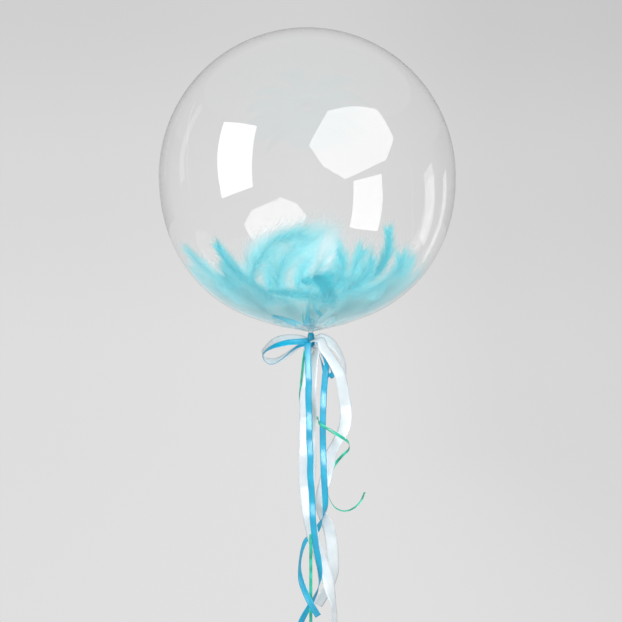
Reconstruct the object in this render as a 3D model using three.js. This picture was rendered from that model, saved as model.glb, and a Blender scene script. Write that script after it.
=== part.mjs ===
// A clear bubble balloon, floating on a taut ribbon tether, with a bow and ribbon tails tied at its neck.
// Millimetres, +Z up. The origin is the foot of the loop at the tether's lower end, which is what holds it.
import * as THREE from "three";

// The inflated bubble
const BUBBLE_WIDTH = 480;
const BUBBLE_HEIGHT = 491; // from the gathered pinch to the crown
const FULLNESS = 2.13; // power of the lower half's curve, where 2 would be round
const FOOT_HEIGHT = 8; // above the pinch, where that curve meets the axis
const PINCH_Z = 540;
const LEAN_DEG = 1.3; // it leans a little towards -X over the pinch
const CONE_RADIUS = 78; // where the flat gathered cone at the foot meets the round body
const AROUND = 64; // faces round the bubble
const PLEATS = 16;
const PLEAT_DEPTH = 1.4; // of the film's gathers, where they are deepest
const PLEAT_CREST = 18; // radius where they are deepest
const PLEAT_REACH = 90; // radius where they run out

// The neck below the pinch, and the wrap of ribbon round it
const NECK_RADIUS = 3;
const NECK_LIP_RADIUS = 4.6;
const NECK_LENGTH = 36;
const TIE_TOP = 5; // below the pinch
const TIE_HEIGHT = 19;
const TIE_INNER = 4;
const TIE_OUTER = 5.8;

// The ribbons
const BLUE_WIDTH = 10;
const WHITE_WIDTH = 20;
const GREEN_WIDTH = 5;
const RIBBON_THICKNESS = 0.7;
const TETHER_TOP = PINCH_Z - NECK_LENGTH - 0.6; // just under the lip of the neck
const KNOT_Z = 38;
const KNOT_RADIUS = 3.6;
const KNOT_HEIGHT = 9;
const LOOP_WIDTH = 17;
const LOOP_GAP = 0.5;
const LOOP_STEPS = 36;
const TAIL_STEPS = 50;
const CURL_STEPS = 72;
const TETHER_STEPS = 24;

const clearFilm = new THREE.MeshStandardMaterial({
  color: 0xdfe6e6,
  roughness: 0.03,
  metalness: 0,
  transparent: true,
  opacity: 0.3,
});
const blueSatin = new THREE.MeshStandardMaterial({ color: 0x12addb, roughness: 0.38 });
const whiteSatin = new THREE.MeshStandardMaterial({ color: 0xf0f3f8, roughness: 0.42 });
const greenRibbon = new THREE.MeshStandardMaterial({ color: 0x28aa90, roughness: 0.3 });

const balloon = new THREE.Group();

function addPiece(parent, name, geometry, material) {
  const piece = new THREE.Mesh(geometry, material);
  piece.name = name;
  parent.add(piece);
  return piece;
}

// A profile of [radius, height] pairs turned round the Z axis
function turned(profile, around) {
  const points = profile.map(([radius, height]) => new THREE.Vector2(radius, height));
  return new THREE.LatheGeometry(points, around).rotateX(Math.PI / 2);
}

// The bubble's half outline, upwards from the lip of the neck, with heights from the pinch: a neck,
// a flat gathered cone, a lower half a little fuller than round, and a round upper half.
function bubbleProfile() {
  const side = BUBBLE_WIDTH / 2;
  const middle = BUBBLE_HEIGHT - side;
  const depth = middle - FOOT_HEIGHT;
  const lower = (radius) => middle - depth * (1 - (radius / side) ** FULLNESS) ** (1 / FULLNESS);
  const neck = [
    [0, -NECK_LENGTH],
    [NECK_LIP_RADIUS, -NECK_LENGTH],
    [NECK_RADIUS, -TIE_TOP - TIE_HEIGHT],
    [NECK_RADIUS, -TIE_TOP],
    [NECK_RADIUS, -1],
  ];
  const cone = new THREE.SplineCurve(
    [
      [5, 1.2],
      [16, 4],
      [34, 7.4],
      [56, 12],
      [CONE_RADIUS, lower(CONE_RADIUS)],
    ].map(([radius, height]) => new THREE.Vector2(radius, height)),
  );
  const start = Math.asin(CONE_RADIUS / side);
  const rings = 26;
  const body = Array.from({ length: rings - 1 }, (_, i) => {
    const angle = THREE.MathUtils.lerp(start, Math.PI, (i + 1) / rings);
    const radius = side * Math.sin(angle);
    return [radius, angle < Math.PI / 2 ? lower(radius) : middle - side * Math.cos(angle)];
  });
  return [...neck, ...cone.getPoints(8).map((p) => [p.x, p.y]), ...body, [0, BUBBLE_HEIGHT]];
}

// Gathers that radiate from the pinch: the film rises and falls round it
function gathered(geometry) {
  const place = geometry.getAttribute("position");
  for (let i = 0; i < place.count; i += 1) {
    const [x, y, z] = [place.getX(i), place.getY(i), place.getZ(i)];
    const radius = Math.hypot(x, y);
    const growing = radius / PLEAT_CREST;
    const fading = (PLEAT_REACH - radius) / (PLEAT_REACH - PLEAT_CREST);
    const depth = z > 0 && z < CONE_RADIUS ? Math.max(Math.min(growing, fading), 0) : 0;
    place.setZ(i, z + PLEAT_DEPTH * depth * Math.cos(PLEATS * Math.atan2(y, x)));
  }
  return geometry;
}

// The direction that a ribbon's width takes: turn, in degrees round Z from +X, and rise above level
function widthDirection(turn = 0, rise = 0) {
  const [t, r] = [turn, rise].map(THREE.MathUtils.degToRad);
  return new THREE.Vector3(Math.cos(t) * Math.cos(r), Math.sin(t) * Math.cos(r), Math.sin(r));
}

// A flat ribbon along a route. Each row is a point on its middle line, then the turn and rise there.
function ribbon(width, rows, steps) {
  const smooth = (points) => new THREE.CatmullRomCurve3(points, false, "catmullrom", 0.5);
  const middle = smooth(rows.map(([x, y, z]) => new THREE.Vector3(x, y, z)));
  const across = smooth(rows.map(([, , , turn, rise]) => widthDirection(turn, rise)));
  const corners = [];
  for (let i = 0; i <= steps; i += 1) {
    const point = middle.getPoint(i / steps);
    const along = middle.getTangent(i / steps);
    const side = across.getPoint(i / steps).projectOnPlane(along).normalize();
    const face = new THREE.Vector3().crossVectors(along, side).normalize();
    for (const [s, f] of [[-1, -1], [1, -1], [1, 1], [-1, 1]]) {
      const edge = point.clone().addScaledVector(side, (s * width) / 2);
      corners.push(edge.addScaledVector(face, (f * RIBBON_THICKNESS) / 2));
    }
  }
  const faces = [];
  for (let i = 0; i < steps; i += 1) {
    for (let k = 0; k < 4; k += 1) {
      // Both broad faces split along the same diagonal, so a twisted strip keeps its thickness
      const [a, b] = [4 * i + k, 4 * i + ((k + 1) % 4)];
      if (k === 2) faces.push(a, b, a + 4, b, b + 4, a + 4);
      else faces.push(a, b, b + 4, a, b + 4, a + 4);
    }
  }
  const last = 4 * steps;
  faces.push(0, 2, 1, 0, 3, 2, last, last + 1, last + 2, last, last + 2, last + 3);
  return new THREE.BufferGeometry().setFromPoints(corners).setIndex(faces);
}

// The bubble and its tie lean together over the pinch
const upper = new THREE.Group();
upper.position.set(0, 0, PINCH_Z);
upper.rotation.y = -THREE.MathUtils.degToRad(LEAN_DEG);
balloon.add(upper);
addPiece(upper, "bubble", gathered(turned(bubbleProfile(), AROUND)), clearFilm);

const tieProfile = [
  [TIE_INNER, -TIE_TOP - TIE_HEIGHT],
  [TIE_OUTER - 1, -TIE_TOP - TIE_HEIGHT],
  [TIE_OUTER, -TIE_TOP - 0.75 * TIE_HEIGHT],
  [TIE_OUTER - 0.7, -TIE_TOP - 0.5 * TIE_HEIGHT],
  [TIE_OUTER, -TIE_TOP - 0.25 * TIE_HEIGHT],
  [TIE_OUTER - 1.4, -TIE_TOP],
  [TIE_INNER, -TIE_TOP],
  [TIE_INNER, -TIE_TOP - TIE_HEIGHT],
];
addPiece(upper, "neck_tie", turned(tieProfile, 20), blueSatin);

// The bow's four loops
const bowLoops = [
  ["blue_loop_left", BLUE_WIDTH, blueSatin, [
    [-7, -4, 525, 90, 72],
    [-18, -9, 524.5, 90, 72],
    [-34, -13, 523.5, 90, 66],
    [-49, -15, 520.5, 90, 55],
    [-61, -13, 516.5, 92, 40],
    [-71, -8, 511, 95, 20],
    [-77, -1, 504, 96, 6],
    [-77, 6, 496.5, 92, 0],
    [-72, 9, 490, 90, 0],
    [-65, 10, 487.5, 90, 2],
    [-56, 9, 490, 90, 4],
    [-44, 7, 498.5, 90, 8],
    [-32, 4, 509, 90, 16],
    [-20, 2, 517, 90, 30],
    [-8.5, 1, 520, 90, 40],
  ]],
  ["white_loop_left", WHITE_WIDTH, whiteSatin, [
    [-7.5, 8.5, 527, 90, 30],
    [-18, 6, 530, 90, 30],
    [-33, 4, 530.5, 90, 32],
    [-49, 4, 528.5, 90, 34],
    [-63, 6, 523, 90, 30],
    [-74, 14, 514, 92, 18],
    [-79, 21, 505, 94, 8],
    [-76, 27, 497, 92, 14],
    [-67, 29.5, 492.5, 90, 22],
    [-56, 29, 493, 90, 26],
    [-44, 26, 499, 90, 28],
    [-31, 22, 508, 90, 28],
    [-19, 18, 516, 90, 20],
    [-8, 17, 521, 90, 10],
  ]],
  ["white_loop_right", WHITE_WIDTH, whiteSatin, [
    [6, 16.5, 527, 60, 42],
    [15, 17, 530, 68, 44],
    [27, 15, 526, 76, 44],
    [38, 12, 517, 80, 40],
    [48, 12, 503, 78, 32],
    [54, 15, 487, 74, 22],
    [56, 20, 472, 80, 8],
    [50, 26, 464, 90, 0],
    [41, 28, 469, 96, -10],
    [32, 28, 482, 96, -20],
    [23, 27, 496, 92, -20],
    [14, 25, 507, 84, -6],
    [6, 24, 514, 84, 0],
  ]],
  ["blue_loop_right", BLUE_WIDTH, blueSatin, [
    [8, 3, 524, 70, 0],
    [15, 4, 518, 66, 0],
    [23, 7, 509, 60, 4],
    [31, 9, 496, 52, 8],
    [36.5, 10, 484, 44, 8],
    [37, 11.5, 474, 30, 0],
    [32, 12.5, 468, 10, -10],
    [25, 12.5, 472, 20, -20],
    [20, 11.5, 483, 60, -20],
    [16, 10, 496, 80, -10],
    [11.5, 8, 507, 85, 0],
    [7.5, 6.4, 513, 90, 0],
  ]],
];
for (const [name, width, satin, rows] of bowLoops) {
  addPiece(balloon, name, ribbon(width, rows, LOOP_STEPS), satin);
}

// The tails that hang from the knot. Each is a cut length of satin ribbon with a bare end.
const tails = [
  ["blue_tail_left", BLUE_WIDTH, blueSatin, [
    [-4, -7.5, 522, 0],
    [-4.6, -9.5, 508, 0],
    [-4.6, -10, 490, 0],
    [-4, -9, 460, 4],
    [-3.4, -9.6, 430, -4],
    [-2.8, -9, 400, 4],
    [-2, -9.6, 370, -4],
    [-1.3, -9, 340, 4],
    [-0.6, -9.4, 310, -3],
    [1, -9, 285, 2],
    [2.4, -9, 262, 0],
    [3.2, -9, 240, 0],
    [5, -9, 220, 0],
    [8.4, -9, 193, -8],
    [12.3, -8, 172, -20],
    [14.8, -6, 152, -40],
    [13.6, -1, 134, -78],
    [8.4, 5, 115, -118],
    [-3, 9, 93, -150],
    [-14, 9, 73, -160],
    [-21.5, 8, 52, -160],
  ]],
  ["blue_tail_right", BLUE_WIDTH, blueSatin, [
    [10, -5, 524, 70],
    [16, -7.6, 511, 74],
    [21, -9, 498, 74],
    [24, -10, 486, 40],
    [23.4, -10.4, 473, 6],
    [22, -10, 455, 0],
    [20.6, -9.4, 435, 4],
    [19.4, -10, 390, -4],
    [19.8, -9.4, 349, 4],
    [21.4, -10, 308, -4],
    [22.8, -9, 280, 6],
    [23.4, -6, 260, 28],
    [21, -1, 243, 70],
    [14, 6, 226, 130],
    [6, 10.5, 213, 150],
    [-7, 11, 202, 140],
    [-13, 8, 189, 122],
    [-16.8, 4, 172, 112],
    [-18, -1, 154, 120],
    [-15.5, -7, 138, 148],
    [-10.5, -11, 124, 165],
    [-0.6, -14, 103, 178],
    [12, -14, 82, 180],
  ]],
  ["white_tail_middle", WHITE_WIDTH, whiteSatin, [
    [8.5, -1, 512, -58],
    [7.8, -1, 495, -54],
    [7.4, -1, 470, -46],
    [7.6, -1, 450, -44],
    [9.2, -0.6, 428, -54],
    [8.6, 0.8, 414, -60],
    [6, 4.5, 399, -64],
    [4.4, 8, 378, -48],
    [1.5, 10.4, 350, -20],
    [-1.5, 10, 315, -8],
    [-3.5, 10.5, 280, -4],
  ]],
  ["white_tail_left", WHITE_WIDTH, whiteSatin, [
    [-3, 9.5, 512.5, 62],
    [-3, 10.5, 500, 56],
    [-4.6, 10.5, 470, 30],
    [-7.6, 9, 440, 4],
    [-8.6, 7, 412, -8],
    [-9, 5.5, 384, -4],
    [-10.2, 5, 350, 6],
    [-11, 5, 316, 10],
    [-9, 5, 282, 6],
    [-5.3, 5, 254, 0],
    [-0.5, 5, 231, -6],
    [6, 5, 203, -8],
    [12.5, 4.6, 182, -6],
    [19, 4, 163, 0],
    [26, 3, 143, 10],
    [32.5, 2, 117, 40],
    [37.2, 2, 99, 66],
    [37.4, 3, 84, 58],
    [36.4, 4, 68, 48],
    [35.6, 4, 52, 46],
  ]],
  ["white_tail_right", WHITE_WIDTH, whiteSatin, [
    [15.5, -10, 527, 50, 20],
    [22, -12, 512, 44, 16],
    [30.5, -12, 497, 40, 10],
    [39, -11, 480, 34, 8],
    [46, -9, 463, 26, 4],
    [51.5, -7, 444, 16, 0],
    [56, -5, 420, 4],
    [57, -3, 398, -10],
    [54, 0, 376, -30],
    [46, 4, 357, -40],
    [35, 7, 341, -24],
    [28.5, 8, 320, -12],
    [24, 8, 300, -20],
    [19.6, 9, 278, -45],
    [18.5, 9.5, 260, -58],
    [23, 9.6, 243, -34],
    [29, 9.6, 224, -10],
    [33.4, 10, 200, 4],
    [36.6, 12, 170, 22],
    [36.6, 16, 148, 30],
    [30.5, 19, 127, 34],
    [20, 20, 109, 30],
    [11, 20, 95, 26],
  ]],
];
for (const [name, width, satin, rows] of tails) {
  addPiece(balloon, name, ribbon(width, rows, TAIL_STEPS), satin);
}

// The short end of the tether's ribbon, curled, and the tether itself
const curl = [
  [-8, 16, 516, 44],
  [-11.2, 17.5, 500, 40],
  [-13.6, 18.5, 478, 40],
  [-16.2, 19.4, 452, 44],
  [-17.4, 20.5, 432, 40, 20],
  [-14, 22, 418, 10, 50],
  [-4, 21, 409, 0, 70],
  [4.5, 16, 403.5, -20, 76],
  [11.6, 4.5, 399.5, -50, 76],
  [12.4, -8.6, 395.5, -50, 76],
  [16, -15.5, 391.3, -30, 72],
  [26.5, -18, 385, -10, 62],
  [38, -18, 378, 20, 60],
  [49, -14, 371, 50, 60],
  [60.5, -6.6, 362, 80, 50],
  [61.6, 3, 350, 110, 40],
  [50.5, 12, 338, 130, 40],
  [39.5, 18, 324, 150, 30],
  [31, 19, 306, 150, 10],
  [27.5, 16, 289, 110, 0],
  [29, 10, 273, 90, 6],
  [37, 2, 258, 86, 14],
  [48, -3, 251.5, 90, 18],
  [60, -4, 251, 92, 22],
  [72, -3, 257, 102, 24],
  [81.5, 0, 267, 110, 22],
  [87.5, 4, 280, 114, 18],
];
addPiece(balloon, "green_curl", ribbon(GREEN_WIDTH, curl, CURL_STEPS), greenRibbon);

const tether = [
  [0, 0, TETHER_TOP, 90],
  [0, 0, 0.9 * TETHER_TOP, 90],
  [0, 0, 0.75 * TETHER_TOP, 60],
  [0, 0, 0.5 * TETHER_TOP, 0],
  [0, 0, 0.25 * TETHER_TOP, 0],
  [0, 0, KNOT_Z + KNOT_HEIGHT / 2 + LOOP_GAP, 0],
];
addPiece(balloon, "tether", ribbon(GREEN_WIDTH, tether, TETHER_STEPS), greenRibbon);

const knotProfile = [
  [0, -0.5],
  [0.7, -0.5],
  [1, -0.25],
  [0.85, 0],
  [1, 0.25],
  [0.7, 0.5],
  [0, 0.5],
].map(([radius, height]) => [radius * KNOT_RADIUS, height * KNOT_HEIGHT]);
addPiece(balloon, "tether_knot", turned(knotProfile, 12).translate(0, 0, KNOT_Z), greenRibbon);

// The loop below the knot, a teardrop that opens along Y
function loopRoute() {
  const foot = RIBBON_THICKNESS / 2;
  const top = KNOT_Z - KNOT_HEIGHT / 2 - LOOP_GAP;
  const belly = LOOP_WIDTH / 2;
  const shoulder = (top + 2 * belly) / 2 + 2;
  const round = Array.from({ length: 9 }, (_, i) => {
    const angle = THREE.MathUtils.degToRad(20 - 27.5 * i);
    return [belly * Math.cos(angle), 0, foot + belly * (1 + Math.sin(angle)), 90];
  });
  const right = [
    [1.4, 0, top, 90],
    [4.6, 0, shoulder, 90],
  ];
  const left = [
    [-4.6, 0, shoulder, 90],
    [-1.4, 0, top, 90],
  ];
  return [...right, ...round, ...left];
}
addPiece(balloon, "tether_loop", ribbon(GREEN_WIDTH, loopRoute(), LOOP_STEPS), greenRibbon);

export default balloon;
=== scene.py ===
import math

import bpy
import numpy as np
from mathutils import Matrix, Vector


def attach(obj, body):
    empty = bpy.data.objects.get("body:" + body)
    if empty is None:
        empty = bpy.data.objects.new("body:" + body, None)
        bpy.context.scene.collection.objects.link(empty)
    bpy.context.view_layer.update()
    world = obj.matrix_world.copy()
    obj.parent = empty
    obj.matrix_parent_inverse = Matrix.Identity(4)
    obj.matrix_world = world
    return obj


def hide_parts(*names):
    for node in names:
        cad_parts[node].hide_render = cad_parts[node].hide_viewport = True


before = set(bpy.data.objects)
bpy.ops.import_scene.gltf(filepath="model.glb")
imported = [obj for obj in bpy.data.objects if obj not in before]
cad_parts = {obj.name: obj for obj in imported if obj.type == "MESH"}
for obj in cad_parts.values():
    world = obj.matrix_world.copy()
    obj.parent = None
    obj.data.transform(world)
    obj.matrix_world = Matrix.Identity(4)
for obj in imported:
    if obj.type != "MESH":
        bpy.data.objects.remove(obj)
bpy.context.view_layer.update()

# A clear bubble balloon with turquoise feathers sealed in it, on a taut ribbon tether, with a bow and
# tails of satin ribbon at its neck. Metres, +Z up; the loop at the tether's foot is at the origin.

MM = 0.001

# The bubble, as the solid has it
BUBBLE_WIDTH = 480 * MM
BUBBLE_HEIGHT = 491 * MM
FULLNESS = 2.13
FOOT_HEIGHT = 8 * MM
PINCH_Z = 540 * MM
LEAN_DEG = 1.3
CONE_RADIUS = 78 * MM
PLEATS = 16
PLEAT_DEPTH = 1.4 * MM
PLEAT_CREST = 18 * MM
PLEAT_REACH = 90 * MM
NECK_LENGTH = 36 * MM
FILM_THICKNESS = 0.3 * MM
FILM_SIDES = 192
BODY_RINGS = 110
CONE_RINGS = 26

# The ribbons
BLUE_WIDTH = 10 * MM
WHITE_WIDTH = 20 * MM
GREEN_WIDTH = 5 * MM
SATIN_THICKNESS = 0.3 * MM
CURLING_THICKNESS = 0.25 * MM
RIBBON_CROWN = 0.04
RIBBON_LANES = 7
BOW_STEPS = 160
TAIL_STEPS = 240
LOOP_STEPS = 80

# How the tails wave, and where ribbons go in under the tie: its radius and heights in millimetres
WAVE_UP_DEG = 9.0
WAVE_BLUR = 9 * MM
WAVE_SAMPLES = 1200
TUCK_RADIUS = 3.8
TUCK_LOW, TUCK_HIGH = 515.5, 533

# The tether, its knot and its loop
TETHER_GAP = 0.6 * MM
KNOT_Z = 38 * MM
KNOT_RADIUS = 3.6 * MM
KNOT_HEIGHT = 9 * MM
KNOT_SIDES = 32
LOOP_WIDTH = 17 * MM
LOOP_GAP = 0.5 * MM
LOOP_FOOT = 0.35 * MM

# Satin colours that noise scatters in random patches: a painted shade, the dye itself and a painted sheen
BLUE_DYE_SHADE_SHEEN = (0.0, 0.2, 0.34), (0.0, 0.25, 0.395), (0.0, 0.3, 0.45)
WHITE_DYE_SHADE_SHEEN = (0.42, 0.48, 0.5), (0.47, 0.52, 0.545), (0.53, 0.56, 0.58)
WHITE_ALPHA = 0.92

# The camera that took the picture stood level with the ribbons' knot
CAMERA_PLACE = Vector((0.0003, -3.0, 0.574))
CAMERA_LENS = 107.2
CAMERA_SENSOR = 36

# The bubble's middle, which the cards are placed from
BUBBLE_CENTRE = Vector((-5.7 * MM, 0, 791 * MM))

# Every random draw comes from this, so each run gives the same feathers
DRAW = np.random.default_rng(20)


def camera():
    """The view of the photo: level, from the front."""
    data = bpy.data.cameras.new("camera")
    data.lens = CAMERA_LENS
    data.sensor_width = CAMERA_SENSOR
    data.clip_start = 0.05
    data.clip_end = 60
    eye = bpy.data.objects.new("camera", data)
    eye.location = CAMERA_PLACE
    eye.rotation_euler = (math.pi / 2, 0, 0)
    bpy.context.collection.objects.link(eye)
    bpy.context.scene.camera = eye


# Curves and mesh helpers

def smooth_line(points, samples):
    """The smooth curve through the points, evenly sampled in its parameter, as the solids have it."""
    p = np.array(points, float)
    p = np.vstack([2 * p[0] - p[1], p, 2 * p[-1] - p[-2]])
    place = np.linspace(0, len(p) - 3, samples + 1)
    i = np.minimum(place.astype(int), len(p) - 4)
    w = (place - i)[:, None]
    a, b, c, d = p[i], p[i + 1], p[i + 2], p[i + 3]
    out, into = (c - a) / 2, (d - b) / 2
    return ((2 * b - 2 * c + out + into) * w**3 + (3 * c - 3 * b - 2 * out - into) * w**2 + out * w + b)


def unit(v):
    """Vectors at length 1."""
    return v / np.maximum(np.linalg.norm(v, axis=-1, keepdims=True), 1e-12)


def new_mesh(name, points, faces):
    """A piece from its points and faces, each a list or an array."""
    faces = faces.tolist() if isinstance(faces, np.ndarray) else faces
    mesh = bpy.data.meshes.new(name)
    mesh.from_pydata(np.asarray(points).tolist(), [], faces)
    mesh.update()
    piece = bpy.data.objects.new(name, mesh)
    bpy.context.collection.objects.link(piece)
    return piece


def lathe(name, profile, around):
    """A profile of [radius, height] turned round Z, closed at the axis where its ends lie on it."""
    angle = np.arange(around) / around * 2 * math.pi
    points, rings = [], []
    for radius, height in profile:
        if radius < 1e-9:
            rings.append([len(points)] * around)
            points.append((0, 0, height))
        else:
            rings.append(list(range(len(points), len(points) + around)))
            points += [(radius * math.cos(a), radius * math.sin(a), height) for a in angle]
    faces = []
    for low, high in zip(rings, rings[1:]):
        for k in range(around):
            m = (k + 1) % around
            corners = [low[k], low[m], high[m], high[k]]
            faces.append(list(dict.fromkeys(corners)))
    return new_mesh(name, points, faces)


def apply(piece, kind, **settings):
    """Puts a modifier on a piece and applies it."""
    modifier = piece.modifiers.new(kind.title(), kind)
    for key, value in settings.items():
        setattr(modifier, key, value)
    bpy.ops.object.select_all(action="DESELECT")
    piece.select_set(True)
    bpy.context.view_layer.objects.active = piece
    bpy.ops.object.modifier_apply(modifier=modifier.name)


def finish_piece(piece, material):
    """Gives a piece its material and slot, and sets it on the part's one body."""
    piece.data.materials.clear()
    piece.data.materials.append(material)
    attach(piece, "root")


# Materials

def node_adder(tree):
    """A function that adds a node to a tree, with each input set to a value or linked to an output."""
    def add(kind, inputs=(), **settings):
        node = tree.nodes.new(kind)
        for key, value in settings.items():
            setattr(node, key, value)
        for key, value in dict(inputs).items():
            if isinstance(value, bpy.types.NodeSocket):
                tree.links.new(value, node.inputs[key])
            else:
                node.inputs[key].default_value = value
        return node

    return add


def new_material(name):
    """A material, its shader, and functions that add a node and link an output to the shader."""
    material = bpy.data.materials.new(name)
    material.use_nodes = True
    tree = material.node_tree
    shader = tree.nodes["Principled BSDF"]

    def link(output, key):
        tree.links.new(output, shader.inputs[key])

    return material, shader, node_adder(tree), link


def set_plain(shader, **values):
    """Sets the shader's own sockets, whose names have a space for each underscore."""
    for key, value in values.items():
        shader.inputs[key.replace("_", " ")].default_value = value


def ramp(add, fac, stops, interpolation="LINEAR"):
    """A colour for each place from 0 to 1."""
    node = add("ShaderNodeValToRGB", {"Fac": fac})
    node.color_ramp.interpolation = interpolation
    elements = node.color_ramp.elements
    while len(elements) < len(stops):
        elements.new(0.5)
    for element, (position, colour) in zip(elements, stops):
        element.position = position
        element.color = (*colour, 1)
    return node.outputs["Color"]


def film_material():
    """Clear stretched film, not quite even."""
    material, shader, add, link = new_material("clear_film")
    set_plain(shader, Base_Color=(1, 1, 1, 1), Roughness=0.0, IOR=1.45, Transmission_Weight=1.0)
    coord = add("ShaderNodeTexCoord").outputs["Object"]
    swell = add("ShaderNodeTexNoise", {"Vector": coord, "Scale": 3.0, "Detail": 1.0})
    bump = add("ShaderNodeBump", {"Height": swell.outputs["Fac"], "Strength": 0.02, "Distance": 0.02})
    link(bump.outputs["Normal"], "Normal")
    return material


def satin_material(name, dye_shade_sheen, alpha=1.0):
    """Woven satin: fine threads along it, a strong soft gloss, and random patches of painted shade and
    painted sheen over its dye.
    """
    material, shader, add, link = new_material(name)
    set_plain(shader, Roughness=0.36, IOR=1.62, Alpha=alpha)
    uv = add("ShaderNodeUVMap", uv_map="ribbon").outputs["UV"]
    # Painted shade and painted sheen: noise patches darker and lighter than the dye
    patch = add("ShaderNodeTexNoise", {"Vector": uv, "Scale": 35.0, "Detail": 2.0})
    colour = ramp(add, patch.outputs["Fac"], list(zip((0.3, 0.5, 0.75), dye_shade_sheen)))
    link(colour, "Base Color")
    threads = add("ShaderNodeTexWave", {"Vector": uv, "Scale": 900.0, "Distortion": 0.4})
    bump = add("ShaderNodeBump", {"Height": threads.outputs["Fac"], "Strength": 0.12, "Distance": 0.0002})
    link(bump.outputs["Normal"], "Normal")
    return material


def curling_material():
    """Glossy curling ribbon with fine lengthwise ribs."""
    material, shader, add, link = new_material("green_ribbon")
    set_plain(shader, Roughness=0.22, Coat_Weight=0.3, Coat_Roughness=0.15)
    uv = add("ShaderNodeUVMap", uv_map="ribbon").outputs["UV"]
    patch = add("ShaderNodeTexNoise", {"Vector": uv, "Scale": 60.0, "Detail": 1.0})
    colour = ramp(add, patch.outputs["Fac"], [
        (0.3, (0.006, 0.2, 0.14)), (0.5, (0.012, 0.33, 0.22)), (0.75, (0.04, 0.5, 0.35)),
    ])
    link(colour, "Base Color")
    ribs = add("ShaderNodeTexWave", {"Vector": uv, "Scale": 700.0})
    bump = add("ShaderNodeBump", {"Height": ribs.outputs["Fac"], "Strength": 0.2, "Distance": 0.0002})
    link(bump.outputs["Normal"], "Normal")
    return material


def down_material():
    """Dyed down: each barb's own tone comes from the mesh, from full at the shaft to pale at the ends."""
    material, shader, add, link = new_material("turquoise_feather")
    set_plain(shader, Roughness=0.8, Alpha=0.36, Sheen_Weight=0.4, Sheen_Roughness=0.5)
    set_plain(shader, Specular_IOR_Level=0.2)
    tone = add("ShaderNodeAttribute", attribute_name="tone").outputs["Fac"]
    colour = ramp(add, tone, [
        (0.0, (0.0, 0.43, 0.54)), (0.3, (0.015, 0.61, 0.7)), (0.65, (0.32, 0.77, 0.81)),
        (1.0, (0.79, 0.9, 0.92)),
    ])
    link(colour, "Base Color")
    return material


def shaft_material():
    """The dyed shafts of the feathers."""
    material, shader, add, link = new_material("feather_shaft")
    set_plain(shader, Roughness=0.45)
    tone = add("ShaderNodeAttribute", attribute_name="tone").outputs["Fac"]
    link(ramp(add, tone, [(0.0, (0.0, 0.42, 0.5)), (1.0, (0.4, 0.85, 0.88))]), "Base Color")
    return material


# Ribbons

def width_direction(turn, rise):
    """Which way a ribbon's width points: turned from +X round Z, and raised."""
    t, r = np.radians(turn), np.radians(rise)
    return np.stack([np.cos(t) * np.cos(r), np.sin(t) * np.cos(r), np.sin(r)], -1)


def waved(length, waves):
    """How far a hanging ribbon stands off its route as it waves, at each length along it. Waves are
    the lengths in millimetres of the stretches that lean back and, by turns, forward."""
    if not waves:
        return np.zeros_like(length)
    back, forward = sum(waves[1::2]), sum(waves[2::2])
    lean_back = math.tan(math.radians(WAVE_UP_DEG))
    lean_forward = lean_back * -back / forward
    slopes = [0.0] + [lean_forward if k % 2 else lean_back for k in range(len(waves) - 1)] + [0.0]
    edges = np.concatenate([[0], np.cumsum(waves)]) * MM
    fine = np.linspace(0, length[-1], WAVE_SAMPLES)
    slope = np.array(slopes)[np.searchsorted(edges, fine, side="right") - 1]
    window = max(int(WAVE_BLUR / (fine[1] - fine[0])), 1)
    slope = np.convolve(np.pad(slope, window, mode="edge"), np.ones(window) / window, "same")[window:-window]
    return np.interp(length, fine, np.cumsum(slope) * (fine[1] - fine[0]))


def tucked(row):
    """Where a ribbon that starts at this row goes in under the tie."""
    x, y, z, *across = row
    near = TUCK_RADIUS / math.hypot(x, y)
    return [x * near, y * near, min(max(z, TUCK_LOW), TUCK_HIGH), *across]


def ribbon_lines(rows, steps, waves):
    """A ribbon's middle line, which way its width and its face point, and the length along it."""
    table = np.array([(*row, 0, 0)[:5] for row in rows], float)
    middle = smooth_line(table[:, :3] * MM, steps)
    across = smooth_line(width_direction(table[:, 3], table[:, 4]), steps)
    along = unit(np.gradient(middle, axis=0))
    side = unit(across - (across * along).sum(-1, keepdims=True) * along)
    step = np.linalg.norm(np.diff(middle, axis=0), axis=1)
    length = np.concatenate([[0], np.cumsum(step)])
    middle = middle + np.cross(along, side) * waved(length, waves)[:, None]
    along = unit(np.gradient(middle, axis=0))
    return middle, side, unit(np.cross(along, side)), length


def ribbon(name, width, rows, material, slot, thickness=SATIN_THICKNESS, steps=BOW_STEPS, waves=()):
    """A flat ribbon along its route, crowned a little across its width. Each row is a point in
    millimetres, then the turn and rise of its width. Returns the piece and its middle line."""
    middle, side, face, length = ribbon_lines(rows, steps, waves)
    lanes, uvs = [], []
    for s in np.linspace(-1, 1, RIBBON_LANES):
        bulge = RIBBON_CROWN * width * (1 - s * s)
        lanes.append(middle + side * (s * width / 2) + face * bulge)
        uvs.append(np.stack([np.full_like(length, (s + 1) / 2 * width), length], -1))
    grid = np.stack(lanes, 1)
    n, k = grid.shape[:2]
    i, j = np.meshgrid(np.arange(n - 1), np.arange(k - 1), indexing="ij")
    a = (i * k + j).ravel()
    piece = new_mesh(name + "_ribbon", grid.reshape(-1, 3), np.stack([a, a + 1, a + k + 1, a + k], -1))
    layer = piece.data.uv_layers.new(name="ribbon")
    place = np.stack(uvs, 1).reshape(-1, 2)
    corner = np.zeros(len(piece.data.loops), int)
    piece.data.loops.foreach_get("vertex_index", corner)
    layer.data.foreach_set("uv", place[corner].ravel())
    piece.data.shade_smooth()
    apply(piece, "SOLIDIFY", thickness=thickness, offset=0)
    finish_piece(piece, material)
    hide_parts(name)
    bpy.data.collections["ribbons"].objects.link(piece)
    piece.visible_shadow = False
    return piece, middle


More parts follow.
